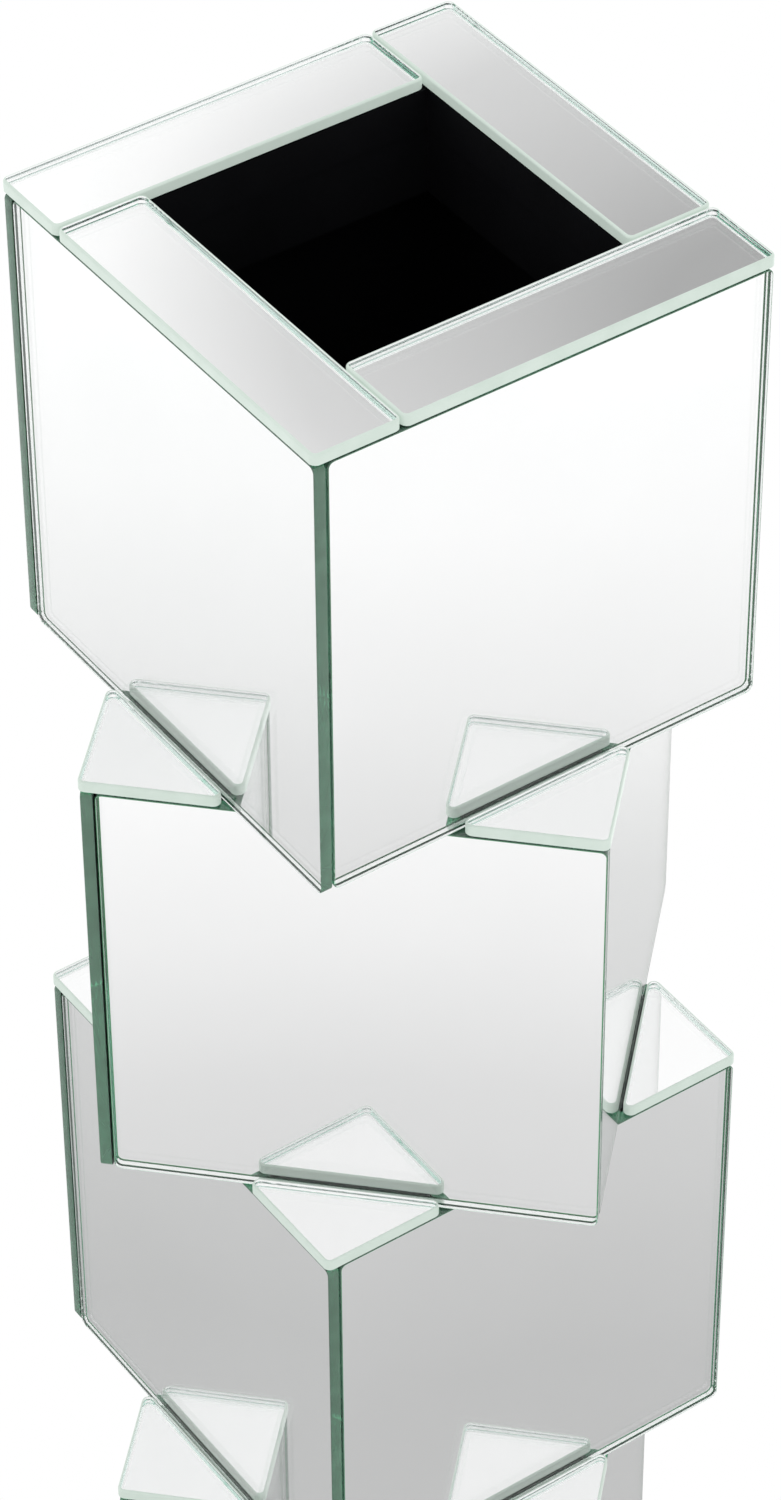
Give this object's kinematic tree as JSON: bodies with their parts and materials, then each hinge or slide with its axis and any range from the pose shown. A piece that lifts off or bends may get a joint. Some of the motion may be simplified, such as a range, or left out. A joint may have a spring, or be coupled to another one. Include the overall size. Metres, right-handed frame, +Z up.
{
  "type": "stacked mirror floor vase",
  "caption": "Tall floor vase of stacked mirror-clad blocks, every second block turned by 45 degrees, with an open black well in the top block.",
  "frame": {"origin": "centre of the felt's underside, on the floor", "axes": "+Z up the stack's axis, the top block's front towards -Y and its right side towards +X"},
  "size_m": [0.2872, 0.2872, 0.8208],
  "materials": {
    "silvered_glass": "polished clear glass with a silvered back, polished edges pale green",
    "black_board": "fibreboard painted matt black",
    "foam_tape": "matt black foam tape",
    "black_felt": "matt black felt"
  },
  "bodies": {
    "root": {"base_felt": "black_felt", "block_1_bottom_board": "black_board", "block_1_corner_mirror_far": "silvered_glass", "block_1_corner_mirror_left": "silvered_glass", "block_1_corner_mirror_near": "silvered_glass", "block_1_corner_mirror_right": "silvered_glass", "block_1_mirror_back": "silvered_glass", "block_1_mirror_front": "silvered_glass", "block_1_mirror_left": "silvered_glass", "block_1_mirror_right": "silvered_glass", "block_1_top_board": "black_board", "block_1_walls": "black_board", "block_2_bottom_board": "black_board", "block_2_corner_mirror_far": "silvered_glass", "block_2_corner_mirror_left": "silvered_glass", "block_2_corner_mirror_near": "silvered_glass", "block_2_corner_mirror_right": "silvered_glass", "block_2_mirror_back": "silvered_glass", "block_2_mirror_front": "silvered_glass", "block_2_mirror_left": "silvered_glass", "block_2_mirror_right": "silvered_glass", "block_2_top_board": "black_board", "block_2_walls": "black_board", "block_3_bottom_board": "black_board", "block_3_corner_mirror_far": "silvered_glass", "block_3_corner_mirror_left": "silvered_glass", "block_3_corner_mirror_near": "silvered_glass", "block_3_corner_mirror_right": "silvered_glass", "block_3_mirror_back": "silvered_glass", "block_3_mirror_front": "silvered_glass", "block_3_mirror_left": "silvered_glass", "block_3_mirror_right": "silvered_glass", "block_3_top_board": "black_board", "block_3_walls": "black_board", "block_4_bottom_board": "black_board", "block_4_mirror_back": "silvered_glass", "block_4_mirror_front": "silvered_glass", "block_4_mirror_left": "silvered_glass", "block_4_mirror_right": "silvered_glass", "block_4_wall_back": "black_board", "block_4_wall_front": "black_board", "block_4_wall_left": "black_board", "block_4_wall_right": "black_board", "collar_side_back": "black_board", "collar_side_front": "black_board", "collar_side_left": "black_board", "collar_side_right": "black_board", "mirror_pads": "foam_tape", "rim_mirror_back": "silvered_glass", "rim_mirror_front": "silvered_glass", "rim_mirror_left": "silvered_glass", "rim_mirror_right": "silvered_glass", "rim_rail_back": "black_board", "rim_rail_front": "black_board", "rim_rail_left": "black_board", "rim_rail_right": "black_board"}
  },
  "joints": []
}
